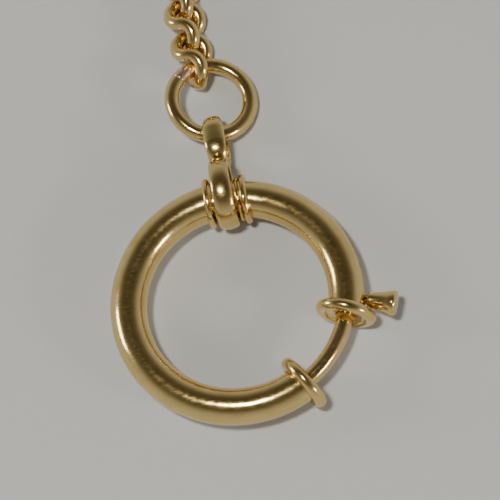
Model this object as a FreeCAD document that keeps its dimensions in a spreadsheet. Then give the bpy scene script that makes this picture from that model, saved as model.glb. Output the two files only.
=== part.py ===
"""Pocket watch chain: a bolt ring, its figure-eight bail, a joining ring, a twisted curb chain and a T-bar.

Millimetres. The origin is the centre of the bolt ring, +Z is the ring's own axis and +Y points to the bail.
The ring lies flat, and the chain lies beside it on the same table, curving gently away along +Y.
"""

import FreeCAD, Part
import math
import os
import Sketcher

Vector = FreeCAD.Vector
Rotation = FreeCAD.Rotation
Placement = FreeCAD.Placement

DIMENSIONS = {
    # bolt ring tube
    "ring_radius": 10.24,
    "tube_radius": 1.72,
    "tube_wall": 0.35,
    "trigger_end_angle": -15.0,
    "catch_end_angle": -59.3,
    "slot_start_angle": 3.7,
    "slot_sweep": 52.0,
    "slot_width": 1.0,
    # collars
    "end_collar_radius": 2.28,
    "end_collar_wire": 0.57,
    "lip_radius": 1.92,
    "lip_step": 0.02,
    "trigger_lip": 0.30,
    "catch_lip": 0.47,
    "bail_collar_radius": 2.02,
    "bail_collar_wire": 0.36,
    "bail_shoulder_radius": 1.80,
    "bail_shoulder_wire": 0.24,
    "left_collar_slide": 1.56,
    "left_shoulder_inset": 0.20,
    "right_collar_slide": 1.86,
    "right_shoulder_inset": 0.58,
    # bolt, spring and inner plugs
    "bolt_radius": 0.80,
    "bolt_clearance": 0.06,
    "guide_radius": 1.32,
    "guide_sweep": 12.0,
    "guide_lead_share": 0.35,
    "bolt_overlap_angle": 3.4,
    "knob_angle": -8.0,
    "knob_lean": -9.0,
    "spring_turns": 16.0,
    "spring_coil_radius": 1.08,
    "spring_wire": 0.12,
    "spring_end_gap_angle": 0.8,
    "spring_end_angle": 76.0,
    "stop_sweep": 5.0,
    "socket_radius": 0.86,
    "socket_depth_angle": 5.0,
    "plug_sweep": 9.0,
    # trigger knob
    "knob_neck_radius": 0.42,
    "knob_root": 12.18,
    "knob_tip": 14.95,
    "knob_root_radius": 0.74,
    "knob_tip_radius": 1.20,
    "knob_rounding": 0.45,
    # bail
    "bail_lower_radius": 3.40,
    "bail_upper_radius": 2.15,
    "bail_wall": 0.78,
    "bail_length": 6.40,
    "bail_width": 1.90,
    "bail_stretch": 1.30,
    "bail_rounding": 0.20,
    "bail_slack": 0.70,
    "bail_yaw_angle": 3.0,
    # joining ring
    "joiner_radius": 3.75,
    "joiner_wire": 0.73,
    "joiner_lean": 15.0,
    "joiner_dip": -3.0,
    "joiner_play": 0.32,
    "joiner_seam_angle": 142.0,
    "joiner_seam_gap": 0.06,
    # chain links
    "link_wire": 0.64,
    "link_end_radius": 1.50,
    "link_end_offset": 0.88,
    "link_tilt": 45.0,
    "link_end_half_arc": 58.0,
    "link_pitch": 3.42,
    "link_roll": 70.0,
    "chain_heading": 98.0,
    "lead_bend": -3.5,
    "bend_per_link": -1.5,
    # far end
    "end_ring_radius": 1.95,
    "end_ring_wire": 0.46,
    "end_ring_lean": 26.0,
    "end_ring_play": 0.22,
    "end_ring_seam_angle": 100.0,
    "end_ring_seam_gap": 0.04,
    "bar_length": 27.0,
    "bar_radius": 1.15,
    "bar_end_radius": 0.85,
    "bar_ball_radius": 1.35,
    "bar_collar_radius": 1.50,
    "bar_collar_width": 2.60,
    "eye_radius": 1.45,
    "eye_wire": 0.43,
    "eye_stand_off": 0.10,
    "eye_play": 0.40,
}

LINK_COUNT = 44
LEAD_LINKS = 2
STRAIGHT_LINKS = 8
CHAIN_START = (-1.6, 25.54, -0.92)
POINTS_PER_TURN = 10
LEAST = 0.01

document = FreeCAD.newDocument("PocketWatchChain")
sheet = document.addObject("Spreadsheet::Sheet", "Sizes")


def fill_sheet():
    for row, (alias, value) in enumerate(DIMENSIONS.items(), start=1):
        sheet.set(f"A{row}", alias)
        sheet.set(f"B{row}", str(value))
        sheet.setAlias(f"B{row}", alias)
    document.recompute()


fill_sheet()


def size(alias):
    """A driving dimension, read from the sheet."""
    return float(sheet.get(alias))


def cell(expression):
    """An expression on sheet aliases, written with @ in front of each alias."""
    return expression.replace("@", "Sizes.")


# ---- small helpers for bodies and sketches -------------------------------------------------------


def turn(axis, degrees):
    return Rotation(Vector(*axis), degrees)


def new_body(label, placement=None):
    body = document.addObject("PartDesign::Body", label)
    body.Label = label
    if placement is not None:
        body.Placement = placement
    return body


def new_sketch(body, name, role, offset=None):
    """A sketch on one of the body's own origin planes."""
    sketch = body.newObject("Sketcher::SketchObject", f"{body.Label}_{name}")
    plane = next(item for item in body.Origin.OriginFeatures if item.Role == role)
    sketch.AttachmentSupport = (plane, "")
    sketch.MapMode = "FlatFace"
    if offset is not None:
        sketch.AttachmentOffset = offset
    return sketch


def bind(sketch, constraint, expression):
    """Adds a dimensional constraint whose value is an expression on the sheet."""
    index = sketch.addConstraint(constraint)
    sketch.setExpression(f"Constraints[{index}]", cell(expression))


def add_circle(sketch, across, up, radius):
    """A circle placed by expressions, where an up of None keeps its centre on the sketch's X axis."""
    circle = sketch.addGeometry(Part.Circle(Vector(5, 1, 0), Vector(0, 0, 1), 1), False)
    bind(sketch, Sketcher.Constraint("Radius", circle, 1.0), radius)
    if across is None:
        sketch.addConstraint(Sketcher.Constraint("PointOnObject", circle, 3, -2))
    else:
        bind(sketch, Sketcher.Constraint("DistanceX", -1, 1, circle, 3, 5.0), across)
    if up is None:
        sketch.addConstraint(Sketcher.Constraint("PointOnObject", circle, 3, -1))
    else:
        bind(sketch, Sketcher.Constraint("DistanceY", -1, 1, circle, 3, 1.0), up)
    return circle


def add_polygon(sketch, corners, guesses):
    """A closed polygon. Each corner is a pair of expressions, and guess is where the solver starts."""
    count = len(corners)
    lines = []
    for i in range(count):
        start = Vector(guesses[i][0], guesses[i][1], 0)
        end = Vector(guesses[(i + 1) % count][0], guesses[(i + 1) % count][1], 0)
        lines.append(sketch.addGeometry(Part.LineSegment(start, end), False))
    for i in range(count):
        sketch.addConstraint(Sketcher.Constraint("Coincident", lines[i], 2, lines[(i + 1) % count], 1))
    for i, (across, up) in enumerate(corners):
        pin_coordinate(sketch, lines[i], "DistanceX", across, guesses[i][0], -2)
        pin_coordinate(sketch, lines[i], "DistanceY", up, guesses[i][1], -1)


def pin_coordinate(sketch, line, kind, expression, guess, axis):
    """Holds a line's first point at a distance from the origin, or on the axis if expression is None."""
    if expression is None:
        sketch.addConstraint(Sketcher.Constraint("PointOnObject", line, 1, axis))
    else:
        bind(sketch, Sketcher.Constraint(kind, -1, 1, line, 1, guess), expression)


def revolve(body, sketch, sweep=None, cut=False):
    """Turns a sketch about its own vertical axis, all the way round unless a sweep expression is given."""
    kind = "PartDesign::Groove" if cut else "PartDesign::Revolution"
    feature = body.newObject(kind, f"{sketch.Label}_turned")
    feature.Profile = sketch
    feature.ReferenceAxis = (sketch, ["V_Axis"])
    if sweep is None:
        feature.Angle = 360.0
    else:
        feature.setExpression("Angle", cell(sweep))
    sketch.Visibility = False
    return feature


def pad(body, sketch, length, cut=False):
    """Pads or pockets a sketch evenly to both sides of its plane."""
    kind = "PartDesign::Pocket" if cut else "PartDesign::Pad"
    feature = body.newObject(kind, f"{sketch.Label}_pad")
    feature.Profile = sketch
    feature.Midplane = True
    feature.setExpression("Length", cell(length))
    return feature


def on_ring(angle, slide=0.0):
    """A placement at an angle on the ring, whose local Z runs anticlockwise along the tube's centreline."""
    radius = size("ring_radius")
    reach = math.radians(angle) + slide / radius
    point = Vector(radius * math.cos(reach), radius * math.sin(reach), 0)
    along = turn((0, 0, 1), math.degrees(reach)) * turn((1, 0, 0), -90)
    return Placement(point, along)


def from_angle(angle):
    """A placement that turns a piece about the ring's axis, so its own zero is at an angle on the ring."""
    return Placement(Vector(), turn((0, 0, 1), angle))


# ---- bolt ring -----------------------------------------------------------------------------------


def make_ring_tube():
    """The hollow tube: an annulus turned about the ring's axis, with the trigger's slot cut outside."""
    body = new_body("ring_tube", from_angle(size("trigger_end_angle")))
    annulus = new_sketch(body, "annulus", "XZ_Plane")
    add_circle(annulus, "@ring_radius", None, "@tube_radius")
    add_circle(annulus, "@ring_radius", None, "@tube_radius - @tube_wall")
    revolve(body, annulus, "360 + @catch_end_angle - @trigger_end_angle")
    start = Placement(Vector(), turn((0, 1, 0), size("slot_start_angle")))
    slot = new_sketch(body, "slot", "XZ_Plane", start)
    left, right = "@ring_radius + @tube_radius - 2 * @tube_wall", "@ring_radius + @tube_radius + 1"
    low, high = "-@slot_width / 2", "@slot_width / 2"
    corners = [(left, low), (right, low), (right, high), (left, high)]
    add_polygon(slot, corners, [(11, -0.5), (13, -0.5), (13, 0.5), (11, 0.5)])
    revolve(body, slot, "@slot_sweep", cut=True)
    return body


def make_bead_collar(label, placement, beads):
    """A collar of one or two round beads, whose local Z is the collar's axis."""
    body = new_body(label, placement)
    for number, (radius, wire, height) in enumerate(beads):
        bead = new_sketch(body, f"bead{number}", "XZ_Plane")
        add_circle(bead, radius, height, wire)
        revolve(body, bead)
    return body


def close_mouth(body, high):
    """Closes the tube's end with a lip round the bolt, and clears the tube's own space."""
    plate = new_sketch(body, "lip", "XZ_Plane")
    inner, outer, low = "@bolt_radius + @bolt_clearance", "@lip_radius", "@lip_step"
    corners = [(inner, low), (outer, low), (outer, high), (inner, high)]
    add_polygon(plate, corners, [(0.9, 0.1), (2, 0.1), (2, 0.5), (0.9, 0.5)])
    revolve(body, plate)
    bore = new_sketch(body, "bore", "XZ_Plane")
    side, behind = "@tube_radius", "-@tube_radius"
    corners = [(None, behind), (side, behind), (side, low), (None, low)]
    add_polygon(bore, corners, [(0, -2), (1.7, -2), (1.7, 0.1), (0, 0.1)])
    revolve(body, bore, cut=True)


def bore_for_tube(body):
    """Clears the whole ring of tube out of a collar that isn't square to it."""
    upright = Placement(Vector(), turn((1, 0, 0), 90))
    offset = upright.inverse().multiply(body.Placement.inverse()).multiply(upright)
    bore = new_sketch(body, "bore", "XZ_Plane", offset)
    add_circle(bore, "@ring_radius", None, "@tube_radius")
    revolve(body, bore, cut=True)


def make_end_collars():
    """The heavy collars at the two ends of the tube. Each local Z points out of the tube, into the gap."""
    trigger = on_ring(size("trigger_end_angle"))
    trigger = trigger.multiply(Placement(Vector(), turn((1, 0, 0), 180)))
    bead = ("@end_collar_radius", "@end_collar_wire", None)
    close_mouth(make_bead_collar("trigger_end_collar", trigger, [bead]), "@trigger_lip")
    catch = on_ring(size("catch_end_angle"))
    close_mouth(make_bead_collar("catch_end_collar", catch, [bead]), "@catch_lip")


def make_bail_collars():
    """The two soldered collars that keep the bail at the top of the ring, both parallel to it."""
    bead = ("@bail_collar_radius", "@bail_collar_wire", None)
    for name, side in (("right", -1), ("left", 1)):
        centre = on_ring(90.0, side * size(f"{name}_collar_slide")).Base
        facing = turn((0, 0, 1), size("bail_yaw_angle")) * turn((0, 1, 0), side * 90)
        shoulder = ("@bail_shoulder_radius", "@bail_shoulder_wire", f"@{name}_shoulder_inset")
        collar = make_bead_collar(f"bail_collar_{name}", Placement(centre, facing), [bead, shoulder])
        bore_for_tube(collar)


def make_bolt():
    """The sliding bolt: a curved rod that bridges the gap, with a thicker guide inside the tube."""
    tip_angle = size("catch_end_angle") - size("bolt_overlap_angle")
    body = new_body("bolt", from_angle(tip_angle))
    rod = new_sketch(body, "rod", "XZ_Plane")
    add_circle(rod, "@ring_radius", None, "@bolt_radius")
    reach = "@knob_angle - @catch_end_angle + @bolt_overlap_angle"
    revolve(body, rod, reach)
    guide_start = size("knob_angle") - size("guide_lead_share") * size("guide_sweep") - tip_angle
    offset = Placement(Vector(), turn((0, 1, 0), guide_start))
    guide = new_sketch(body, "guide", "XZ_Plane", offset)
    add_circle(guide, "@ring_radius", None, "@guide_radius")
    revolve(body, guide, "@guide_sweep")
    along_knob = leaning((0, 1, 0), size("knob_angle") - tip_angle)
    hole = new_sketch(body, "knob_hole", "XZ_Plane", along_knob)
    left, right = "@ring_radius", "@ring_radius + @guide_radius + 1"
    add_polygon(
        hole,
        [(left, None), (right, None), (right, "@knob_neck_radius"), (left, "@knob_neck_radius")],
        [(10, 0), (12.5, 0), (12.5, 0.4), (10, 0.4)],
    )
    bore = body.newObject("PartDesign::Groove", "bolt_knob_hole_turned")
    bore.Profile = hole
    bore.ReferenceAxis = (hole, ["H_Axis"])
    bore.Angle = 360.0
    return body


def leaning(axis, angle):
    """Local X runs out along the knob: an angle on the ring, then the lean about the knob's root."""
    root = Vector(size("knob_root"), 0, 0)
    out = Placement(Vector(), turn(axis, angle)).multiply(Placement(root, turn(axis, size("knob_lean"))))
    return out.multiply(Placement(-root, Rotation()))


def make_trigger_knob():
    """The thumb knob: a neck through the slot and a small flared, rounded head. Local Z points outwards."""
    out = leaning((0, 0, 1), size("knob_angle"))
    body = new_body("trigger_knob", out.multiply(Placement(Vector(), turn((0, 1, 0), 90))))
    profile = new_sketch(body, "profile", "XZ_Plane")
    corners = [
        (None, "@ring_radius"),
        ("@knob_neck_radius", "@ring_radius"),
        ("@knob_neck_radius", "@knob_root"),
        ("@knob_root_radius", "@knob_root"),
        ("@knob_tip_radius", "@knob_tip"),
        (None, "@knob_tip"),
    ]
    guesses = [(0, 10), (0.4, 10), (0.4, 12.1), (0.8, 12.1), (1, 15), (0, 15)]
    add_polygon(profile, corners, guesses)
    knob = revolve(body, profile)
    end = size("knob_tip") - LEAST
    round_edges(body, knob, lambda edge: edge.BoundBox.ZMin > end, "knob_rounding")
    return body


def round_edges(body, feature, keep, radius):
    """Rounds a feature's circular edges that a test keeps, by a radius given as an alias."""
    document.recompute()
    names = []
    for number, edge in enumerate(feature.Shape.Edges, start=1):
        if edge.Curve.TypeId == "Part::GeomCircle" and keep(edge):
            names.append(f"Edge{number}")
    rounding = body.newObject("PartDesign::Fillet", f"{body.Label}_{radius}")
    rounding.Base = (feature, names)
    rounding.setExpression("Radius", cell(f"@{radius}"))
    return rounding


def make_spring_stop():
    """The plug that the bolt's spring pushes against."""
    body = new_body("spring_stop", from_angle(size("spring_end_angle")))
    disc = new_sketch(body, "disc", "XZ_Plane")
    add_circle(disc, "@ring_radius", None, "@tube_radius - @tube_wall")
    revolve(body, disc, "@stop_sweep")
    return body


def make_catch_plug():
    """The plug in the catch end, with the socket that the bolt's tip enters."""
    body = new_body("catch_plug", from_angle(size("catch_end_angle") - size("plug_sweep")))
    disc = new_sketch(body, "disc", "XZ_Plane")
    add_circle(disc, "@ring_radius", None, "@tube_radius - @tube_wall")
    revolve(body, disc, "@plug_sweep")
    start = Placement(Vector(), turn((0, 1, 0), size("plug_sweep") - size("socket_depth_angle")))
    socket = new_sketch(body, "socket", "XZ_Plane", start)
    add_circle(socket, "@ring_radius", None, "@socket_radius")
    revolve(body, socket, "@socket_depth_angle", cut=True)
    return body


def make_spring():
    """The coil spring behind the bolt's guide, wound along the tube's curved centreline."""
    behind_guide = (1 - size("guide_lead_share")) * size("guide_sweep")
    first = size("knob_angle") + behind_guide + size("spring_end_gap_angle")
    last = size("spring_end_angle") - size("spring_end_gap_angle")
    turns = size("spring_turns")
    steps = int(turns * POINTS_PER_TURN)
    points = []
    for step in range(steps + 1):
        share = step / steps
        angle = math.radians(first + share * (last - first))
        phase = 2 * math.pi * turns * share
        reach = size("ring_radius") + size("spring_coil_radius") * math.cos(phase)
        rise = size("spring_coil_radius") * math.sin(phase)
        points.append(Vector(reach * math.cos(angle), reach * math.sin(angle), rise))
    curve = Part.BSplineCurve()
    curve.interpolate(points)
    path = Part.Wire([curve.toShape()])
    start = curve.tangent(curve.FirstParameter)[0]
    section = Part.Wire([Part.makeCircle(size("spring_wire"), points[0], start)])
    spring = document.addObject("Part::Feature", "spring")
    spring.Label = "spring"
    spring.Shape = path.makePipeShell([section], True, True)
    return spring


# ---- bail and joining ring -----------------------------------------------------------------------


def table_level():
    """The height of the table, which the two end collars rest on."""
    return -(size("end_collar_radius") + size("end_collar_wire"))


def bail_placement():
    """Local X lies along the tube, and local Y runs to the upper loop. Both loops touch the table."""
    rise = size("bail_lower_radius") + table_level()
    fall = size("bail_lower_radius") - size("bail_upper_radius")
    droop = math.degrees(math.asin(fall / size("bail_length")))
    ahead = math.sqrt(size("bail_slack") ** 2 - rise**2)
    foot = Vector(0, size("ring_radius") + ahead, rise)
    return Placement(foot, turn((0, 0, 1), size("bail_yaw_angle")) * turn((1, 0, 0), -droop))


def make_bail():
    """The figure-eight bail: a round loop for the tube, and a longer, smaller one for the joining ring."""
    body = new_body("bail", bail_placement())
    lower = new_sketch(body, "lower", "YZ_Plane")
    add_circle(lower, None, None, "@bail_lower_radius")
    pad(body, lower, "@bail_width")
    upper = new_sketch(body, "upper", "YZ_Plane")
    add_slot(upper, "@bail_length - @bail_stretch", "@bail_length", "@bail_upper_radius", (5.1, 6.4, 2.1))
    pad(body, upper, "@bail_width")
    lower_hole = new_sketch(body, "lower_hole", "YZ_Plane")
    add_circle(lower_hole, None, None, "@bail_lower_radius - @bail_wall")
    pad(body, lower_hole, "2 * @bail_width", cut=True)
    upper_hole = new_sketch(body, "upper_hole", "YZ_Plane")
    inside = "@bail_upper_radius - @bail_wall"
    add_slot(upper_hole, "@bail_length - @bail_stretch", "@bail_length", inside, (5.1, 6.4, 1.2))
    bored = pad(body, upper_hole, "2 * @bail_width", cut=True)
    side = size("bail_width") / 2 - LEAST
    round_edges(body, bored, lambda edge: abs(edge.BoundBox.Center.x) > side, "bail_rounding")
    return body


def add_slot(sketch, near, far, radius, guess):
    """A slot with round ends along the sketch's X axis. guess holds near, far and radius."""
    half_turn = math.pi / 2
    low, high, reach = guess
    normal = Vector(0, 0, 1)
    ahead = Part.ArcOfCircle(Part.Circle(Vector(high, 0, 0), normal, reach), -half_turn, half_turn)
    behind = Part.ArcOfCircle(Part.Circle(Vector(low, 0, 0), normal, reach), half_turn, 3 * half_turn)
    far_end = sketch.addGeometry(ahead, False)
    top = sketch.addGeometry(Part.LineSegment(Vector(high, reach, 0), Vector(low, reach, 0)), False)
    near_end = sketch.addGeometry(behind, False)
    bottom = sketch.addGeometry(Part.LineSegment(Vector(low, -reach, 0), Vector(high, -reach, 0)), False)
    outline = [far_end, top, near_end, bottom]
    for first, second in zip(outline, outline[1:] + outline[:1]):
        sketch.addConstraint(Sketcher.Constraint("Tangent", first, 2, second, 1))
    sketch.addConstraint(Sketcher.Constraint("Equal", far_end, near_end))
    for end, across, middle in ((near_end, near, low), (far_end, far, high)):
        sketch.addConstraint(Sketcher.Constraint("PointOnObject", end, 3, -1))
        bind(sketch, Sketcher.Constraint("DistanceX", -1, 1, end, 3, middle), across)
    bind(sketch, Sketcher.Constraint("Radius", far_end, reach), radius)


def joiner_hook():
    """Where the middle of the joining ring's wire lies in the bail's small loop."""
    pull = size("bail_upper_radius") - size("bail_wall") - size("joiner_wire") - size("joiner_play")
    return bail_placement().multVec(Vector(0, size("bail_length") + pull, 0))


def joiner_placement():
    """The joining ring hangs in the bail's small loop and leans from the first link down to the table."""
    lean = turn((0, 1, 0), size("joiner_lean")) * turn((1, 0, 0), size("joiner_dip"))
    return Placement(joiner_hook() + lean * Vector(0, size("joiner_radius"), 0), lean)


def make_open_ring(label, placement, name):
    """A ring of round wire with a fine seam where its ends meet. Its sizes' aliases start with name."""
    width = math.degrees(size(f"{name}_seam_gap") / size(f"{name}_radius"))
    seam = Placement(Vector(), turn((0, 0, 1), size(f"{name}_seam_angle") + width / 2))
    body = new_body(label, placement.multiply(seam))
    section = new_sketch(body, "section", "XZ_Plane")
    add_circle(section, f"@{name}_radius", None, f"@{name}_wire")
    revolve(body, section, f"360 - @{name}_seam_gap / @{name}_radius * 180 / pi")
    return body


# ---- chain ---------------------------------------------------------------------------------------


def tangent_arc(start, direction, end):
    """The arc that leaves start along direction and passes through end."""
    chord = end - start
    unit = direction.normalize()
    side = chord - unit * chord.dot(unit)
    side.normalize()
    lean = math.acos(chord.dot(unit) / chord.Length)
    radius = chord.Length / (2 * math.sin(lean))
    middle = start + unit * (radius * math.sin(lean)) + side * (radius * (1 - math.cos(lean)))
    return Part.Arc(start, middle, end).toShape()


def crossing_angle(end, tangent):
    """The slope, in radians, at which a side crosses the middle so that one arc reaches its round end."""
    low, high = 0.0, math.radians(120)
    for _ in range(60):
        middle = (low + high) / 2
        miss = -end.z * (math.cos(middle) + tangent.x) - end.x * (math.sin(middle) - tangent.z)
        if miss > 0:
            low = middle
        else:
            high = middle
    return (low + high) / 2


def link_edges():
    """A twisted link's centreline: two round ends in planes tilted opposite ways, and two S sides."""
    radius = size("link_end_radius")
    tilt = -math.radians(size("link_tilt"))
    half = math.radians(size("link_end_half_arc"))
    across = Vector(0, math.cos(tilt), math.sin(tilt))
    centre = Vector(size("link_end_offset"), 0, 0)
    end = centre + Vector(radius * math.cos(half), 0, 0) + across * (radius * math.sin(half))
    tangent = Vector(math.sin(half), 0, 0) - across * math.cos(half)
    slope = crossing_angle(end, tangent)
    share = end.x / (math.cos(slope) + tangent.x)
    waist = Vector(0, end.y - share * tangent.y, 0)
    rise = Vector(math.cos(slope), 0, -math.sin(slope))
    side = tangent_arc(waist, rise, end)
    tip = Part.Arc(end, centre + Vector(radius, 0, 0), Vector(end.x, -end.y, -end.z)).toShape()
    half_link = [side, tip, turned(side, Vector(1, 0, 0))]
    return half_link + [turned(edge, Vector(0, 1, 0)) for edge in half_link]


def turned(shape, axis):
    """A copy of a shape, turned half way round an axis through the link's middle."""
    copy = shape.copy()
    copy.rotate(Vector(), axis, 180)
    return copy


def link_shape():
    """One link: each arc of the centreline gives a piece of a ring of wire, and the pieces are joined."""
    pieces = []
    for edge in link_edges():
        first = edge.FirstParameter
        circle = Part.makeCircle(size("link_wire"), edge.valueAt(first), edge.tangentAt(first))
        section = Part.Face(Part.Wire([circle]))
        sweep = math.degrees(edge.LastParameter - first)
        pieces.append(section.revolve(edge.Curve.Center, edge.Curve.Axis, sweep))
    joined = pieces[0].multiFuse(pieces[1:])
    return joined.Solids[0]


def link_placements():
    """Placements of the links, each hooked through the one before: local X runs along the chain."""
    heading = turn((0, 0, 1), size("chain_heading")) * turn((1, 0, 0), size("link_roll"))
    place = Placement(Vector(*CHAIN_START), heading)
    places = [place]
    half_step = Placement(Vector(size("link_pitch") / 2, 0, 0), Rotation())
    for number in range(1, LINK_COUNT):
        bend = 0.0
        if number <= LEAD_LINKS:
            bend = size("lead_bend")
        elif number > STRAIGHT_LINKS:
            bend = size("bend_per_link")
        upright = place.Rotation.inverted() * Vector(0, 0, 1)
        joint = half_step.multiply(Placement(Vector(), Rotation(upright, bend))).multiply(half_step)
        place = place.multiply(joint)
        places.append(place)
    return places


def make_links():
    shape = link_shape()
    for number, place in enumerate(link_placements(), start=1):
        link = document.addObject("Part::Feature", f"link_{number:02d}")
        link.Label = f"link_{number:02d}"
        link.Shape = shape
        link.Placement = place


# ---- far end -------------------------------------------------------------------------------------


def end_ring_placement():
    """The small ring in the last link, turned until it leans towards the table."""
    reach = size("link_end_offset") + size("link_end_radius")
    hooked = size("link_wire") + size("end_ring_wire") + size("end_ring_play")
    centre = Vector(reach - hooked + size("end_ring_radius"), 0, 0)
    lean = turn((1, 0, 0), 45.0 + size("end_ring_lean"))
    return link_placements()[-1].multiply(Placement(centre, lean))


def bar_placement():
    """The middle of the T-bar: local Z runs along the bar, and local -X points back to the chain."""
    ring = end_ring_placement()
    ahead = ring.Rotation * Vector(1, 0, 0)
    heading = math.degrees(math.atan2(ahead.y, ahead.x))
    hooked = size("end_ring_radius") - size("end_ring_wire") - size("eye_wire") - size("eye_play")
    reach = hooked + 2 * size("eye_radius") + size("bar_collar_radius") + size("eye_stand_off")
    level = turn((0, 0, 1), heading) * turn((1, 0, 0), -90)
    return Placement(ring.Base + ahead * reach, level)


def make_bar():
    """The T-bar: a slim bar that tapers from a straight middle to a rounded ball at each end."""
    body = new_body("t_bar", bar_placement())
    profile = new_sketch(body, "profile", "XZ_Plane")
    corners = [
        (None, "-@bar_length / 2"),
        ("@bar_end_radius", "-@bar_length / 2"),
        ("@bar_radius", "-@bar_collar_width / 2"),
        ("@bar_radius", "@bar_collar_width / 2"),
        ("@bar_end_radius", "@bar_length / 2"),
        (None, "@bar_length / 2"),
    ]
    guesses = [(0, -13), (0.8, -13), (1.1, -1.3), (1.1, 1.3), (0.8, 13), (0, 13)]
    add_polygon(profile, corners, guesses)
    revolve(body, profile)
    for number, height in enumerate(("-@bar_length / 2", "@bar_length / 2")):
        ball = new_sketch(body, f"ball{number}", "XZ_Plane")
        add_half_disc(ball, "@bar_ball_radius", height, number)
        revolve(body, ball)
    return body


def add_half_disc(sketch, radius, height, upper):
    """Half of a disc whose straight side lies on the sketch's vertical axis, to be turned into a ball."""
    level = 13.0 if upper else -13.0
    disc = Part.Circle(Vector(0, level, 0), Vector(0, 0, 1), 1.3)
    arc = Part.ArcOfCircle(disc, -math.pi / 2, math.pi / 2)
    curve = sketch.addGeometry(arc, False)
    line = Part.LineSegment(Vector(0, level + 1.3, 0), Vector(0, level - 1.3, 0))
    side = sketch.addGeometry(line, False)
    sketch.addConstraint(Sketcher.Constraint("Coincident", curve, 2, side, 1))
    sketch.addConstraint(Sketcher.Constraint("Coincident", side, 2, curve, 1))
    sketch.addConstraint(Sketcher.Constraint("PointOnObject", curve, 3, -2))
    sketch.addConstraint(Sketcher.Constraint("PointOnObject", side, 1, -2))
    sketch.addConstraint(Sketcher.Constraint("PointOnObject", side, 2, -2))
    bind(sketch, Sketcher.Constraint("Radius", curve, 1.3), radius)
    bind(sketch, Sketcher.Constraint("DistanceY", -1, 1, curve, 3, level), height)


def make_bar_eye():
    """The collar round the middle of the bar, with the eye that the end ring holds."""
    body = new_body("t_bar_eye", bar_placement())
    band = new_sketch(body, "band", "XZ_Plane")
    inner, outer = "@bar_radius", "@bar_collar_radius"
    low, high = "-@bar_collar_width / 2", "@bar_collar_width / 2"
    corners = [(inner, low), (outer, low), (outer, high), (inner, high)]
    add_polygon(band, corners, [(1.1, -1.3), (1.5, -1.3), (1.5, 1.3), (1.1, 1.3)])
    collar = revolve(body, band)
    eye = body.newObject("PartDesign::AdditiveTorus", "t_bar_eye_loop")
    eye.setExpression("Radius1", cell("@eye_radius"))
    eye.setExpression("Radius2", cell("@eye_wire"))
    plane = next(item for item in body.Origin.OriginFeatures if item.Role == "XY_Plane")
    eye.AttachmentSupport = (plane, "")
    eye.MapMode = "FlatFace"
    aside = -(size("eye_radius") + size("bar_collar_radius") + size("eye_stand_off"))
    eye.AttachmentOffset = Placement(Vector(aside, 0, 0), Rotation())
    return collar


def check():
    """Stops the build if any object failed or any sub-part is empty or invalid."""
    for item in document.Objects:
        if "Invalid" in item.State or "Error" in item.State:
            raise RuntimeError(f"{item.Label}: {item.State}")
    for item in sub_parts():
        if item.Shape.isNull() or not item.Shape.isValid():
            raise RuntimeError(f"{item.Label} has no valid shape")


def sub_parts():
    kinds = ("PartDesign::Body", "Part::Feature")
    return [item for item in document.Objects if item.TypeId in kinds]


def export_all():
    os.makedirs("parts", exist_ok=True)
    for item in sub_parts():
        item.Shape.exportStep(f"parts/{item.Label}.step")
        box = item.Shape.BoundBox
        print(f"{item.Label:20s} volume {item.Shape.Volume:9.3f}  centre {box.Center}")


make_ring_tube()
make_end_collars()
make_bail_collars()
make_bolt()
make_trigger_knob()
make_spring_stop()
make_catch_plug()
make_spring()
make_bail()
make_open_ring("joining_ring", joiner_placement(), "joiner")
make_links()
make_open_ring("end_ring", end_ring_placement(), "end_ring")
make_bar()
make_bar_eye()
document.recompute()
check()
export_all()
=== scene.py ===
import math

import bpy
import numpy as np
from mathutils import Matrix, Vector


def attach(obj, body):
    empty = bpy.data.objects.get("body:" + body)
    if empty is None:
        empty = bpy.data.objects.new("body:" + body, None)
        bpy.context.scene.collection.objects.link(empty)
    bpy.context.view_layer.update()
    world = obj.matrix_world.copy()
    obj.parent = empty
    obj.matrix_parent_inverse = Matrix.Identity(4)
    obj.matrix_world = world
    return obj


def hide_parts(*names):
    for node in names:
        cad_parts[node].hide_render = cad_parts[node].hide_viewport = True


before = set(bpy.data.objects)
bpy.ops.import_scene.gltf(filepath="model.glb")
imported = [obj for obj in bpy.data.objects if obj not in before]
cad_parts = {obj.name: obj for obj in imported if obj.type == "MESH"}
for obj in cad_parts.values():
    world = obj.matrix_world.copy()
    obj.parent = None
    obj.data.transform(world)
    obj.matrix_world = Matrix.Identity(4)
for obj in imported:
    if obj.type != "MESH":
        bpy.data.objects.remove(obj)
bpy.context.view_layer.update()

# The looks of a pocket watch chain: worn, polished gold on a pale table. Sizes are millimetres, and
# the meshes are made in metres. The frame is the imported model's: its origin is the bolt ring's centre.

MM = 0.001

# bolt ring
RING_RADIUS = 10.24
TUBE_RADIUS = 1.72
TUBE_WALL = 0.35
TRIGGER_END = -15.0
CATCH_END = -59.3
SLOT_START = -11.3
SLOT_SWEEP = 52.0
SLOT_WIDTH = 1.0
TUBE_STEPS = 640
TUBE_SIDES = 46
END_COLLAR_RADIUS = 2.28
END_COLLAR_WIRE = 0.57
LIP = [(1.80, 0.30), (0.96, 0.30), (0.90, 0.24), (0.90, 0.02)]
BAIL_COLLAR_RADIUS = 2.02
BAIL_COLLAR_WIRE = 0.36
SHOULDER_RADIUS = 1.80
SHOULDER_WIRE = 0.24
COLLAR_SLIDES = {"right": 1.86, "left": 1.56}
SHOULDER_INSETS = {"right": 0.58, "left": 0.20}
COLLAR_LEAN = 4.0
TABLE = -(END_COLLAR_RADIUS + END_COLLAR_WIRE)

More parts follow.
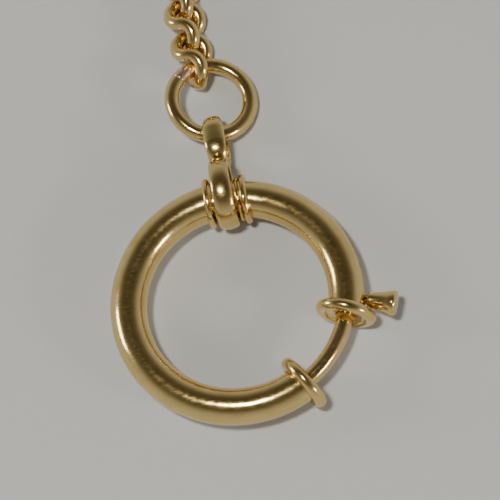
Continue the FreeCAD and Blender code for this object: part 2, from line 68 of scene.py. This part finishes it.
# bolt and trigger
BOLT_RADIUS = 0.80
BOLT_OVERLAP = 3.4
BOLT_STEPS = 150
BOLT_TIP = [0.45, 0.72, 0.88, 0.97]
GUIDE_RADIUS = 1.32
GUIDE_SWEEP = 12.0
GUIDE_LEAD_SHARE = 0.35
KNOB_ANGLE = -8.0
KNOB_LEAN = -9.0
KNOB_ROOT = 12.18
KNOB_TIP = 14.95
KNOB_TIP_RADIUS = 1.20
KNOB_TIP_ROUNDING = 0.42
KNOB_TIP_STEPS = 8
# radii at heights above the knob's root
KNOB_FLARE = [(0.58, 0), (0.70, 0.03), (0.74, 0.10), (0.74, 0.22), (0.78, 0.70), (0.89, 1.30), (1.03, 1.85)]
# radii at depths below the knob's tip
KNOB_DISH = [(0.40, 0.01), (0.2, 0.03), (0.0, 0.035)]
KNOB_STEM_RADIUS = 0.42
KNOB_STEM_GAP = 0.02

# bail
BAIL_LOWER = 3.40
BAIL_UPPER = 2.15
BAIL_WALL = 0.78
BAIL_LENGTH = 6.40
BAIL_WIDTH = 1.90
BAIL_STRETCH = 1.30
BAIL_SLACK = 0.70
BAIL_YAW = 3.0
BAND_CORNER = 0.62
BAND_DOME = 0.34
BAND_SIDES = 28
BAND_STEPS = 120
# shares of the bail's half width at the start, middle and far end of each loop
LOWER_LOOP_WIDTHS = (1.0, 1.0, 0.95)
UPPER_LOOP_WIDTHS = (0.93, 1.08, 0.80)

# joining ring
JOINER_RADIUS = 3.75
JOINER_WIRE = 0.73
JOINER_LEAN = 15.0
JOINER_DIP = -3.0
JOINER_PLAY = 0.32
JOINER_SEAM = 142.0
JOINER_SEAM_GAP = 0.045
SOLDER_BESIDE_SEAM = 14
SOLDER_REACH = 1.6
SOLDER_CORE = 0.7

# chain
LINK_COUNT = 44
LEAD_LINKS = 2
STRAIGHT_LINKS = 8
CHAIN_START = (-1.6, 25.54, -0.92)
CHAIN_HEADING = 98.0
LEAD_BEND = -3.5
BEND_PER_LINK = -1.5
LINK_WIRE = 0.64
LINK_END_RADIUS = 1.50
LINK_END_OFFSET = 0.88
LINK_HALF_ARC = 58.0
LINK_TILT = 45.0
LINK_PITCH = 3.42
LINK_ROLL = 70.0
LINK_SIDE_STEPS = 16
LINK_END_STEPS = 26
LINK_WIRE_SIDES = 24
SLOPE_LIMIT = 120
SLOPE_HALVINGS = 60
MITRE_SPREAD = 0.35
MITRE_DEPTH = 0.24

# far end
END_RING_RADIUS = 1.95
END_RING_WIRE = 0.46
END_RING_LEAN = 26.0
END_RING_PLAY = 0.22
END_RING_SEAM = 100.0
END_RING_SEAM_GAP = 0.04
EYE_RADIUS = 1.45
EYE_WIRE = 0.43
EYE_STAND_OFF = 0.10
EYE_PLAY = 0.40
BAR_LENGTH = 27.0
BAR_RADIUS = 1.15
BAR_END_RADIUS = 0.85
BAR_BALL = 1.35
BAR_BALL_STEPS = 24
BAR_NECK = 1.1
BAR_COLLAR_RADIUS = 1.50
BAR_COLLAR_WIDTH = 2.60
BAR_COLLAR_EDGE = 0.16

# stage
FLOOR_SIZE = 3.0
FLOOR_COLOUR = (0.50, 0.50, 0.49, 1.0)
ROOM_SHADES = [
    (0.0, (0.55, 0.57, 0.60)),
    (0.35, (0.42, 0.43, 0.44)),
    (0.72, (0.13, 0.125, 0.11)),
    (1.0, (0.035, 0.03, 0.02)),
]
CAMERA_LENS = 232.3
CAMERA_PLACE = (0.02791, -0.10288, 0.28047)
CAMERA_RIGHT = (0.98509, -0.10844, -0.13361)
CAMERA_UP = (0.14859, 0.92765, 0.34261)


# ---- placements ----------------------------------------------------------------------------------


def turn(axis, degrees):
    return Matrix.Rotation(math.radians(degrees), 4, Vector(axis))


def shift(x, y, z):
    return Matrix.Translation((x, y, z))


def on_ring(angle, slide=0.0):
    """Local Z runs along the tube's centreline, anticlockwise."""
    reach = math.radians(angle) + slide / RING_RADIUS
    point = shift(RING_RADIUS * math.cos(reach), RING_RADIUS * math.sin(reach), 0)
    return point @ turn((0, 0, 1), math.degrees(reach)) @ turn((1, 0, 0), -90)


def bail_place():
    rise = BAIL_LOWER + TABLE
    droop = math.degrees(math.asin((BAIL_LOWER - BAIL_UPPER) / BAIL_LENGTH))
    ahead = math.sqrt(BAIL_SLACK**2 - rise**2)
    foot = shift(0, RING_RADIUS + ahead, rise)
    return foot @ turn((0, 0, 1), BAIL_YAW) @ turn((1, 0, 0), -droop)


def joiner_place():
    pull = BAIL_UPPER - BAIL_WALL - JOINER_WIRE - JOINER_PLAY
    hook = bail_place() @ Vector((0, BAIL_LENGTH + pull, 0))
    lean = turn((0, 1, 0), JOINER_LEAN) @ turn((1, 0, 0), JOINER_DIP)
    return shift(*hook) @ lean @ shift(0, JOINER_RADIUS, 0)


def link_places():
    """The links' places: each is a short way along the last one's X axis, with a small bend between them."""
    place = shift(*CHAIN_START) @ turn((0, 0, 1), CHAIN_HEADING) @ turn((1, 0, 0), LINK_ROLL)
    places = [place]
    half_step = shift(LINK_PITCH / 2, 0, 0)
    for number in range(1, LINK_COUNT):
        bend = 0.0
        if number <= LEAD_LINKS:
            bend = LEAD_BEND
        elif number > STRAIGHT_LINKS:
            bend = BEND_PER_LINK
        upright = place.to_3x3().inverted() @ Vector((0, 0, 1))
        place = place @ half_step @ turn(upright, bend) @ half_step
        places.append(place)
    return places


def end_ring_place(last):
    hooked = LINK_WIRE + END_RING_WIRE + END_RING_PLAY
    centre = LINK_END_OFFSET + LINK_END_RADIUS - hooked + END_RING_RADIUS
    return last @ shift(centre, 0, 0) @ turn((1, 0, 0), 45.0 + END_RING_LEAN)


def bar_place(ring):
    """Local Z runs along the bar, and local -X points back to the chain."""
    ahead = (ring.to_3x3() @ Vector((1, 0, 0))).normalized()
    heading = math.degrees(math.atan2(ahead.y, ahead.x))
    hooked = END_RING_RADIUS - END_RING_WIRE - EYE_WIRE - EYE_PLAY
    reach = hooked + 2 * EYE_RADIUS + BAR_COLLAR_RADIUS + EYE_STAND_OFF
    middle = ring.translation + ahead * reach
    return shift(*middle) @ turn((0, 0, 1), heading) @ turn((1, 0, 0), -90)


# ---- mesh makers ---------------------------------------------------------------------------------


def mesh_object(name, points, faces, place=None):
    """A smooth-shaded mesh from millimetre points, with its place already in the vertices."""
    if place is not None:
        matrix = np.array(place)
        points = points @ matrix[:3, :3].T + matrix[:3, 3]
    mesh = bpy.data.meshes.new(name)
    mesh.from_pydata((points * MM).tolist(), [], faces)
    mesh.validate()
    mesh.shade_smooth()
    piece = bpy.data.objects.new(name, mesh)
    bpy.context.scene.collection.objects.link(piece)
    return piece


def grid_faces(rows, columns, closed):
    """Quads between neighbouring rows of a grid whose columns go all the way round."""
    faces = []
    last = rows if closed else rows - 1
    for i in range(last):
        here, ahead = i * columns, ((i + 1) % rows) * columns
        for j in range(columns):
            k = (j + 1) % columns
            faces.append((here + j, here + k, ahead + k, ahead + j))
    return faces


def unit(vectors):
    return vectors / np.linalg.norm(vectors, axis=-1, keepdims=True)


def steady_frames(path, closed):
    """Two directions across the path at every point, carried along it without twisting."""
    if closed:
        tangents = unit(np.roll(path, -1, 0) - np.roll(path, 1, 0))
    else:
        tangents = unit(np.gradient(path, axis=0))
    first = np.cross(tangents[0], [0.0, 0.0, 1.0])
    if np.linalg.norm(first) < 0.1:
        first = np.cross(tangents[0], [0.0, 1.0, 0.0])
    sides = [unit(first)]
    for tangent in tangents[1:]:
        side = sides[-1] - tangent * (sides[-1] @ tangent)
        sides.append(unit(side))
    sides = np.array(sides)
    if closed:
        end = unit(sides[-1] - tangents[0] * (sides[-1] @ tangents[0]))
        twist = math.atan2(np.cross(end, sides[0]) @ tangents[0], end @ sides[0])
        shares = (np.arange(len(path)) / len(path) * twist)[:, None]
        sides = sides * np.cos(shares) + np.cross(tangents, sides) * np.sin(shares)
    return tangents, sides, np.cross(tangents, sides)


def wire(name, path, radius, place=None, closed=True, around=32, shape=None):
    """Round wire along a path. shape scales the radius at (share along the path, angle round it)."""
    tangents, sides, ups = steady_frames(path, closed)
    angles = np.linspace(0, 2 * np.pi, around, endpoint=False)
    radii = np.broadcast_to(np.asarray(radius, float), (len(path),))[:, None] * np.ones(around)
    if shape is not None:
        shares = np.linspace(0, 1, len(path), endpoint=not closed)[:, None]
        radii = radii * shape(shares, angles[None, :])
    across, upward = np.cos(angles)[None, :, None], np.sin(angles)[None, :, None]
    spokes = across * sides[:, None] + upward * ups[:, None]
    points = (path[:, None] + radii[..., None] * spokes).reshape(-1, 3)
    faces = grid_faces(len(path), around, closed)
    if not closed:
        faces.append(tuple(range(around - 1, -1, -1)))
        faces.append(tuple(range((len(path) - 1) * around, len(path) * around)))
    return mesh_object(name, points, faces, place)


def lathe(name, profile, place, around=96):
    """A profile of (radius, height) pairs turned about local Z. Ends at zero radius close the piece."""
    profile = np.array(profile, float)
    angles = np.linspace(0, 2 * np.pi, around, endpoint=False)
    spokes = np.stack([np.cos(angles), np.sin(angles), np.zeros(around)], axis=1)
    radii, heights = profile[:, 0, None, None], profile[:, 1, None, None]
    points = radii * spokes[None] + heights * np.array([0, 0, 1.0])
    faces = grid_faces(len(profile), around, False)
    return mesh_object(name, points.reshape(-1, 3), faces, place)


def circle_path(radius, count, start=0.0, sweep=360.0):
    closed = sweep >= 360.0
    angles = np.radians(np.linspace(start, start + sweep, count, endpoint=not closed))
    return np.stack([radius * np.cos(angles), radius * np.sin(angles), np.zeros(count)], axis=1)


def uneven(amount, lumps, seed):
    """A slow random ripple for a wire's radius, so that no two pieces are quite the same."""
    rng = np.random.default_rng(seed)
    waves = []
    for _ in range(8):
        waves.append((rng.integers(1, lumps), rng.integers(0, 3), rng.uniform(0, 2 * np.pi)))

    def ripple(shares, angles):
        total = sum(np.sin(2 * np.pi * a * shares + b * angles + phase) for a, b, phase in waves)
        return 1 + amount * total / 3

    return ripple


def join(name, parts):
    """Several meshes as one piece."""
    bpy.ops.object.select_all(action="DESELECT")
    for part in parts:
        part.select_set(True)
    bpy.context.view_layer.objects.active = parts[0]
    bpy.ops.object.join()
    parts[0].name = name
    parts[0].data.name = name
    return parts[0]


# ---- materials -----------------------------------------------------------------------------------


def add_node(tree, kind, **values):
    node = tree.nodes.new(kind)
    for key, value in values.items():
        if key in node.inputs:
            node.inputs[key].default_value = value
        else:
            setattr(node, key, value)
    return node


def link_up(tree, source, target):
    tree.links.new(source, target)


def noise(tree, vector, scale, detail, roughness):
    node = add_node(tree, "ShaderNodeTexNoise", Scale=scale, Detail=detail, Roughness=roughness)
    link_up(tree, vector, node.inputs["Vector"])
    return node.outputs["Fac"]


def remap(tree, value, low, high, to_low=0.0, to_high=1.0):
    node = add_node(tree, "ShaderNodeMapRange")
    for key, number in (("From Min", low), ("From Max", high), ("To Min", to_low), ("To Max", to_high)):
        node.inputs[key].default_value = number
    link_up(tree, value, node.inputs["Value"])
    return node.outputs["Result"]


def mix_colour(tree, factor, first, second):
    node = add_node(tree, "ShaderNodeMix", data_type="RGBA")
    link_up(tree, factor, node.inputs["Factor"])
    for socket, colour in ((node.inputs[6], first), (node.inputs[7], second)):
        if isinstance(colour, tuple):
            socket.default_value = (*colour, 1.0)
        else:
            link_up(tree, colour, socket)
    return node.outputs[2]


def add_bump(tree, height, strength, distance, below=None):
    node = add_node(tree, "ShaderNodeBump", Strength=strength, Distance=distance)
    link_up(tree, height, node.inputs["Height"])
    if below is not None:
        link_up(tree, below, node.inputs["Normal"])
    return node.outputs["Normal"]


def gold_material(name, base, worn, roughness, seed, solder=None):
    """Polished metal with handling wear: cloudy patches, small dents, pits and hairlines.

    solder is a point, in millimetres, round which a joint's solder is paler and duller than the wire.
    """
    material = bpy.data.materials.new(name)
    material.use_nodes = True
    tree = material.node_tree
    shader = tree.nodes["Principled BSDF"]
    shader.inputs["Metallic"].default_value = 1.0
    place = add_node(tree, "ShaderNodeTexCoord")
    mapping = add_node(tree, "ShaderNodeMapping")
    mapping.inputs["Location"].default_value = (seed, seed * 0.7, seed * 0.3)
    link_up(tree, place.outputs["Object"], mapping.inputs["Vector"])
    spot = mapping.outputs["Vector"]
    stretch = add_node(tree, "ShaderNodeMapping")
    stretch.inputs["Scale"].default_value = (1.0, 2.4, 1.6)
    stretch.inputs["Rotation"].default_value = (0.4, 0.9, 0.5)
    link_up(tree, spot, stretch.inputs["Vector"])
    cloud = noise(tree, spot, 380.0, 5.0, 0.6)
    dents = noise(tree, spot, 620.0, 2.0, 0.5)
    pits = noise(tree, spot, 3600.0, 3.0, 0.7)
    hairs = noise(tree, stretch.outputs["Vector"], 1500.0, 4.0, 0.75)
    colour = mix_colour(tree, remap(tree, cloud, 0.35, 0.68), base, worn)
    dull = remap(tree, hairs, 0.3, 0.75, roughness * 0.75, roughness * 1.5)
    if solder is not None:
        away = add_node(tree, "ShaderNodeVectorMath", operation="DISTANCE")
        link_up(tree, place.outputs["Object"], away.inputs[0])
        away.inputs[1].default_value = [c * MM for c in solder]
        near = remap(tree, away.outputs["Value"], SOLDER_REACH * MM, SOLDER_CORE * MM)
        colour = mix_colour(tree, near, colour, SOLDER)
        raised = add_node(tree, "ShaderNodeMath", operation="MULTIPLY_ADD")
        link_up(tree, near, raised.inputs[0])
        raised.inputs[1].default_value = 0.16
        link_up(tree, dull, raised.inputs[2])
        dull = raised.outputs["Value"]
    link_up(tree, colour, shader.inputs["Base Color"])
    link_up(tree, dull, shader.inputs["Roughness"])
    lumps = add_bump(tree, dents, 0.32, 0.00006)
    link_up(tree, add_bump(tree, pits, 0.22, 0.000014, lumps), shader.inputs["Normal"])
    return material


def steel_material():
    """Drawn spring wire, hidden in the tube."""
    return gold_material("spring steel", (0.46, 0.46, 0.47), (0.36, 0.35, 0.34), 0.3, 3.0)


def floor_material():
    material = bpy.data.materials.new("pale_table")
    material.use_nodes = True
    tree = material.node_tree
    shader = tree.nodes["Principled BSDF"]
    shader.inputs["Base Color"].default_value = FLOOR_COLOUR
    shader.inputs["Roughness"].default_value = 0.85
    return material


SOLDER = (0.78, 0.55, 0.42)
GOLD_BASE = (0.82, 0.60, 0.24)
GOLD_WORN = (0.70, 0.50, 0.19)
GOLD = gold_material("worn gold", GOLD_BASE, GOLD_WORN, 0.15, 1.0)
RED_GOLD = gold_material("reddish gold", (0.84, 0.59, 0.26), (0.73, 0.49, 0.21), 0.14, 2.0)
STEEL = steel_material()


def finish_piece(piece, body, node, material=GOLD):
    """Gives a mesh its material and lets it stand for a CAD node."""
    piece.data.materials.clear()
    piece.data.materials.append(material)
    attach(piece, body)
    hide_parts(node)


# ---- bolt ring -----------------------------------------------------------------------------------


def ring_tube():
    """The hollow tube, open at its gap, with the trigger's slot left out of its outer side."""
    sweep = 360.0 + CATCH_END - TRIGGER_END
    edge = math.asin(SLOT_WIDTH / 2 / TUBE_RADIUS)
    beyond_slot = np.linspace(edge, 2 * np.pi - edge, TUBE_SIDES, endpoint=False)
    around = np.concatenate([[-edge, 0.0], beyond_slot])
    columns = len(around)
    ring_angles = np.radians(np.linspace(TRIGGER_END, TRIGGER_END + sweep, TUBE_STEPS))
    ripple = uneven(0.0035, 9, 11)
    shares = np.linspace(0, 1, TUBE_STEPS)[:, None]
    radius = TUBE_RADIUS * ripple(shares, around[None, :])
    reach = RING_RADIUS + radius * np.cos(around)[None, :]
    heights = radius * np.sin(around)[None, :]
    easts = reach * np.cos(ring_angles)[:, None]
    norths = reach * np.sin(ring_angles)[:, None]
    points = np.stack([easts, norths, heights], axis=-1).reshape(-1, 3)
    faces = []
    slot_low = math.radians(SLOT_START)
    slot_high = math.radians(SLOT_START + SLOT_SWEEP)
    for i in range(TUBE_STEPS - 1):
        in_slot = slot_low < ring_angles[i] < slot_high
        here, ahead = i * columns, (i + 1) * columns
        for j in range(columns):
            if in_slot and j < 2:
                continue
            k = (j + 1) % columns
            faces.append((here + j, ahead + j, ahead + k, here + k))
    tube = mesh_object("gold_tube", points, faces)
    wall = tube.modifiers.new("wall", "SOLIDIFY")
    wall.thickness = TUBE_WALL * MM
    wall.offset = -1.0
    finish_piece(tube, "bolt_ring", "ring_tube")


def end_collar(name, node, angle, lean, flip, seed):
    """A heavy ring of wire round the end of the tube, soldered on a little askew."""
    place = on_ring(angle)
    place = shift(*place.translation) @ turn((0, 0, 1), lean) @ place.to_3x3().to_4x4()
    ring = circle_path(END_COLLAR_RADIUS, 120)
    bead = wire(name, ring, END_COLLAR_WIRE, place, shape=uneven(0.02, 4, seed))
    lip = lathe(f"{name}_lip", LIP, place @ turn((1, 0, 0), flip))
    finish_piece(join(name, [bead, lip]), "bolt_ring", node)


def bail_collar(side, seed):
    """A soldered collar with a smaller shoulder, parallel to the bail."""
    sign = {"right": -1, "left": 1}[side]
    centre = on_ring(90.0, sign * COLLAR_SLIDES[side]).translation
    place = shift(*centre) @ turn((0, 0, 1), BAIL_YAW) @ turn((0, 1, 0), sign * 90)
    name = f"bail_collar_{side}_made"
    ring = circle_path(BAIL_COLLAR_RADIUS, 110)
    bead = wire(name, ring, BAIL_COLLAR_WIRE, place, shape=uneven(0.03, 4, seed))
    inner = place @ shift(0, 0, SHOULDER_INSETS[side])
    ring = circle_path(SHOULDER_RADIUS, 100)
    shoulder = wire(f"{name}_shoulder", ring, SHOULDER_WIRE, inner, shape=uneven(0.03, 4, seed + 1))
    finish_piece(join(name, [bead, shoulder]), "bolt_ring", f"bail_collar_{side}")


def bolt():
    """The rod across the gap, a rounded tip and the thicker guide in the tube."""
    tip = CATCH_END - BOLT_OVERLAP
    rod_path = circle_path(RING_RADIUS, BOLT_STEPS, tip, KNOB_ANGLE - tip)
    radii = np.full(BOLT_STEPS, BOLT_RADIUS)
    radii[: len(BOLT_TIP)] = BOLT_RADIUS * np.array(BOLT_TIP)
    rod = wire("bolt_rod", rod_path, radii, closed=False, shape=uneven(0.006, 5, 21))
    start = KNOB_ANGLE - GUIDE_LEAD_SHARE * GUIDE_SWEEP
    guide_path = circle_path(RING_RADIUS, 40, start, GUIDE_SWEEP)
    guide = wire("bolt_guide", guide_path, GUIDE_RADIUS, closed=False)
    finish_piece(join("bolt_rod", [rod, guide]), "bolt_slide", "bolt", RED_GOLD)


def knob():
    """The flared trigger knob with its dished, rounded end."""
    lean = shift(KNOB_ROOT, 0, 0) @ turn((0, 0, 1), KNOB_LEAN) @ shift(-KNOB_ROOT, 0, 0)
    place = turn((0, 0, 1), KNOB_ANGLE) @ lean @ turn((0, 1, 0), 90)
    stem_top = KNOB_ROOT - KNOB_STEM_GAP
    profile = [(0.0, RING_RADIUS), (KNOB_STEM_RADIUS, RING_RADIUS), (KNOB_STEM_RADIUS, stem_top)]
    profile += [(radius, KNOB_ROOT + height) for radius, height in KNOB_FLARE]
    rim, shoulder = KNOB_TIP_RADIUS - KNOB_TIP_ROUNDING, KNOB_TIP - KNOB_TIP_ROUNDING
    for step in range(KNOB_TIP_STEPS + 1):
        angle = math.radians(90 * step / KNOB_TIP_STEPS)
        out, up = KNOB_TIP_ROUNDING * math.cos(angle), KNOB_TIP_ROUNDING * math.sin(angle)
        profile.append((rim + out, shoulder + up))
    profile += [(radius, KNOB_TIP - depth) for radius, depth in KNOB_DISH]
    finish_piece(lathe("knob_made", profile, place), "bolt_slide", "trigger_knob")


def hidden_parts():
    """The CAD nodes that are kept: they sit inside the tube."""
    for node in ("spring", "spring_stop", "catch_plug"):
        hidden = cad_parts[node]
        hidden.data.materials.clear()
        hidden.data.materials.append(STEEL if node == "spring" else GOLD)


# ---- bail and joining ring -----------------------------------------------------------------------


def band_section():
    """A band's section as pairs of (across, outward), each from -1 to 1: flat inside, domed outside."""
    section = []
    for angle in np.linspace(0, 2 * np.pi, BAND_SIDES, endpoint=False):
        c, s = math.cos(angle), math.sin(angle)
        across = math.copysign(abs(c) ** BAND_CORNER, c)
        outward = math.copysign(abs(s) ** BAND_CORNER, s)
        dome = 1 - BAND_DOME * across**2 if outward > 0 else 1.0
        section.append((across, outward * dome))
    return section


def slot_path(radius, near, far):
    """Round a slot whose ends have their centres on local Y: pairs of a point and its way outward."""
    path = []
    for angle in np.linspace(0, 2 * np.pi, BAND_STEPS, endpoint=False):
        outward = np.array([0.0, math.cos(angle), math.sin(angle)])
        centre = np.array([0.0, far if outward[1] >= 0 else near, 0.0])
        path.append((centre + radius * outward, outward))
    return path


def band_loop(name, outer, near, far, place, widths):
    """A flat band bent into a loop about local X. widths are shares of the bail's half width."""
    section = band_section()
    widths = [BAIL_WIDTH / 2 * share for share in widths]
    points = []
    for point, outward in slot_path(outer - BAIL_WALL / 2, near, far):
        half_width = np.interp(outward[1], [-1.0, 0.0, 1.0], widths)
        for across, away in section:
            aside = np.array([across * half_width, 0, 0])
            points.append(point + aside + outward * away * BAIL_WALL / 2)
    return mesh_object(name, np.array(points), grid_faces(BAND_STEPS, len(section), True), place)


def bail():
    """The figure-eight bail, creased where its two loops meet."""
    place = bail_place()
    lower = band_loop("bail_lower_loop", BAIL_LOWER, 0, 0, place, LOWER_LOOP_WIDTHS)
    near = BAIL_LENGTH - BAIL_STRETCH
    upper = band_loop("bail_upper_loop", BAIL_UPPER, near, BAIL_LENGTH, place, UPPER_LOOP_WIDTHS)
    finish_piece(join("bail_loops", [lower, upper]), "bail_swivel", "bail")


def open_ring(name, radius, thickness, place, seam, gap, seed):
    """A ring of round wire whose flat ends meet at a fine seam."""
    width = math.degrees(gap / radius)
    path = circle_path(radius, 240, seam + width / 2, 360 - width - 0.001)
    return wire(name, path, thickness, place, closed=False, around=40, shape=uneven(0.008, 5, seed))


def joining_ring():
    """The joining ring, with solder beside its seam."""
    place = joiner_place()
    ring = open_ring(
        "joining_ring_made", JOINER_RADIUS, JOINER_WIRE, place, JOINER_SEAM, JOINER_SEAM_GAP, 51
    )
    beside = math.radians(JOINER_SEAM - SOLDER_BESIDE_SEAM)
    spot = place @ Vector((JOINER_RADIUS * math.cos(beside), JOINER_RADIUS * math.sin(beside), 0))
    soldered = gold_material("soldered gold", GOLD_BASE, GOLD_WORN, 0.14, 4.0, spot)
    finish_piece(ring, "joining_ring_body", "joining_ring", soldered)


# ---- chain ---------------------------------------------------------------------------------------


def arc_points(start, direction, end, count):
    """Points on the arc that leaves start along direction and passes through end, without its last point."""
    chord = end - start
    along = chord @ direction
    side = chord - direction * along
    lean = math.acos(along / np.linalg.norm(chord))
    radius = np.linalg.norm(chord) / (2 * math.sin(lean))
    turns = np.linspace(0, 2 * lean, count, endpoint=False)[:, None]
    return start + radius * (np.sin(turns) * direction + (1 - np.cos(turns)) * unit(side))


def link_path():
    """A twisted link's closed centreline: round ends in planes tilted opposite ways, and S sides."""
    tilt, half = -math.radians(LINK_TILT), math.radians(LINK_HALF_ARC)
    across = np.array([0, math.cos(tilt), math.sin(tilt)])
    centre = np.array([LINK_END_OFFSET, 0, 0])
    ahead = np.array([1.0, 0, 0])
    end = centre + LINK_END_RADIUS * (math.cos(half) * ahead + math.sin(half) * across)
    tangent = math.sin(half) * ahead - math.cos(half) * across
    low, high = 0.0, math.radians(SLOPE_LIMIT)
    for _ in range(SLOPE_HALVINGS):
        slope = (low + high) / 2
        miss = -end[2] * (math.cos(slope) + tangent[0]) - end[0] * (math.sin(slope) - tangent[2])
        low, high = (slope, high) if miss > 0 else (low, slope)
    share = end[0] / (math.cos(slope) + tangent[0])
    waist = np.array([0, end[1] - share * tangent[1], 0])
    rise = np.array([math.cos(slope), 0, -math.sin(slope)])
    side = arc_points(waist, rise, end, LINK_SIDE_STEPS)
    angles = np.linspace(half, -half, LINK_END_STEPS, endpoint=False)[:, None]
    tip = centre + LINK_END_RADIUS * (np.cos(angles) * ahead + np.sin(angles) * across)
    back = np.vstack([side, [end]])[::-1][:-1] * [1, -1, -1]
    half_link = np.vstack([side, tip, back])
    return np.vstack([half_link, half_link * [-1, -1, 1]])


def mitred(path):
    """The first link is closed by a mitre at its free end, so its wire comes to a blunt point there."""
    tip = np.array([-(LINK_END_OFFSET + LINK_END_RADIUS), 0, 0])
    away = np.linalg.norm(path - tip, axis=1)
    return path - np.exp(-away / MITRE_SPREAD)[:, None] * np.array([MITRE_DEPTH, 0, 0])


def links(places):
    for number, place in enumerate(places, start=1):
        name = f"link_{number:02d}"
        path = mitred(link_path()) if number == 1 else link_path()
        shape = uneven(0.012, 5, 100 + number)
        link = wire(f"chain_{name}", path, LINK_WIRE, place, around=LINK_WIRE_SIDES, shape=shape)
        finish_piece(link, f"{name}_body", name, RED_GOLD if number % 3 == 0 else GOLD)


# ---- far end -------------------------------------------------------------------------------------


def end_ring(place):
    """The small ring between the chain and the T-bar."""
    ring = open_ring(
        "end_ring_made", END_RING_RADIUS, END_RING_WIRE, place, END_RING_SEAM, END_RING_SEAM_GAP, 52
    )
    finish_piece(ring, "end_ring_body", "end_ring")


def t_bar(place):
    """The bar with its ball ends, and the collar and eye at its middle."""
    profile = []
    for step in range(BAR_BALL_STEPS + 1):
        angle = math.pi * step / BAR_BALL_STEPS
        ball = (BAR_BALL * math.sin(angle), -BAR_LENGTH / 2 - BAR_BALL * math.cos(angle))
        if ball[0] < BAR_END_RADIUS and ball[1] > -BAR_LENGTH / 2:
            break
        profile.append(ball)
    half = BAR_COLLAR_WIDTH / 2
    profile += [(BAR_END_RADIUS, -BAR_LENGTH / 2 + BAR_NECK), (BAR_RADIUS, -half)]
    profile += [(radius, -height) for radius, height in reversed(profile)]
    finish_piece(lathe("t_bar_made", profile, place, 48), "t_bar_body", "t_bar")
    collar = [
        (BAR_RADIUS, -half),
        (BAR_COLLAR_RADIUS - BAR_COLLAR_EDGE, -half),
        (BAR_COLLAR_RADIUS, -half + BAR_COLLAR_EDGE),
        (BAR_COLLAR_RADIUS, half - BAR_COLLAR_EDGE),
        (BAR_COLLAR_RADIUS - BAR_COLLAR_EDGE, half),
        (BAR_RADIUS, half),
    ]
    band = lathe("t_bar_made_collar", collar, place, 64)
    aside = place @ shift(-(EYE_RADIUS + BAR_COLLAR_RADIUS + EYE_STAND_OFF), 0, 0)
    eye_path = circle_path(EYE_RADIUS, 72)
    eye = wire("t_bar_made_eye", eye_path, EYE_WIRE, aside, shape=uneven(0.01, 4, 61))
    finish_piece(join("t_bar_made_eye", [band, eye]), "t_bar_body", "t_bar_eye")


# ---- stage ---------------------------------------------------------------------------------------


def softbox(name, where, size, power, colour):
    """An area light that faces the bolt ring's centre. Places and sizes are in millimetres."""
    data = bpy.data.lights.new(name, "AREA")
    data.shape = "RECTANGLE"
    data.size, data.size_y = size[0] * MM, size[1] * MM
    data.energy = power
    data.color = colour
    lamp = bpy.data.objects.new(name, data)
    lamp.location = Vector(where) * MM
    back = Vector(where).normalized()
    lamp.rotation_euler = back.to_track_quat("Z", "Y").to_euler()
    bpy.context.scene.collection.objects.link(lamp)


def stage():
    """The table that the chain lies on, the room and the lights."""
    bpy.ops.mesh.primitive_plane_add(size=FLOOR_SIZE, location=(0, 0, TABLE * MM))
    floor = bpy.context.object
    floor.name = "pale_table"
    floor.data.materials.append(floor_material())
    room()
    softbox("overhead", (-35, -50, 350), (44, 34), 0.95, (1.0, 0.99, 0.93))
    softbox("left_window", (-330, 80, 130), (110, 80), 0.34, (0.95, 0.98, 1.0))
    softbox("right_fill", (260, -180, 120), (80, 40), 0.36, (1.0, 0.94, 0.86))


def room():
    """A room whose ceiling is darker than its walls, so that the metal shows dark and light bands."""
    world = bpy.data.worlds.new("room")
    bpy.context.scene.world = world
    world.use_nodes = True
    tree = world.node_tree
    place = add_node(tree, "ShaderNodeTexCoord")
    height = add_node(tree, "ShaderNodeSeparateXYZ")
    link_up(tree, place.outputs["Generated"], height.inputs["Vector"])
    ramp = add_node(tree, "ShaderNodeValToRGB")
    elements = ramp.color_ramp.elements
    while len(elements) < len(ROOM_SHADES):
        elements.new(0.5)
    for element, (where, colour) in zip(elements, ROOM_SHADES):
        element.position = where
        element.color = (*colour, 1.0)
    link_up(tree, height.outputs["Z"], ramp.inputs["Fac"])
    background = tree.nodes["Background"]
    link_up(tree, ramp.outputs["Color"], background.inputs["Color"])
    background.inputs["Strength"].default_value = 1.0


def camera():
    """The viewpoint: above the table, from the ring's near side and a little to its right."""
    data = bpy.data.cameras.new("camera")
    data.sensor_width = 36.0
    data.lens = CAMERA_LENS
    data.clip_start = 0.01
    viewer = bpy.data.objects.new("camera", data)
    bpy.context.scene.collection.objects.link(viewer)
    right = Vector(CAMERA_RIGHT)
    up = Vector(CAMERA_UP)
    axes = Matrix((right, up, right.cross(up))).transposed().to_4x4()
    viewer.matrix_world = Matrix.Translation(CAMERA_PLACE) @ axes
    bpy.context.scene.camera = viewer


# ---- the whole object ----------------------------------------------------------------------------

ring_tube()
end_collar("trigger_collar", "trigger_end_collar", TRIGGER_END, -COLLAR_LEAN, 180, 31)
end_collar("catch_collar", "catch_end_collar", CATCH_END, COLLAR_LEAN, 0, 32)
bail_collar("right", 41)
bail_collar("left", 43)
bolt()
knob()
bail()
joining_ring()
chain = link_places()
links(chain)
small_ring = end_ring_place(chain[-1])
end_ring(small_ring)
t_bar(bar_place(small_ring))
hidden_parts()
stage()
camera()

bpy.context.view_layer.update()
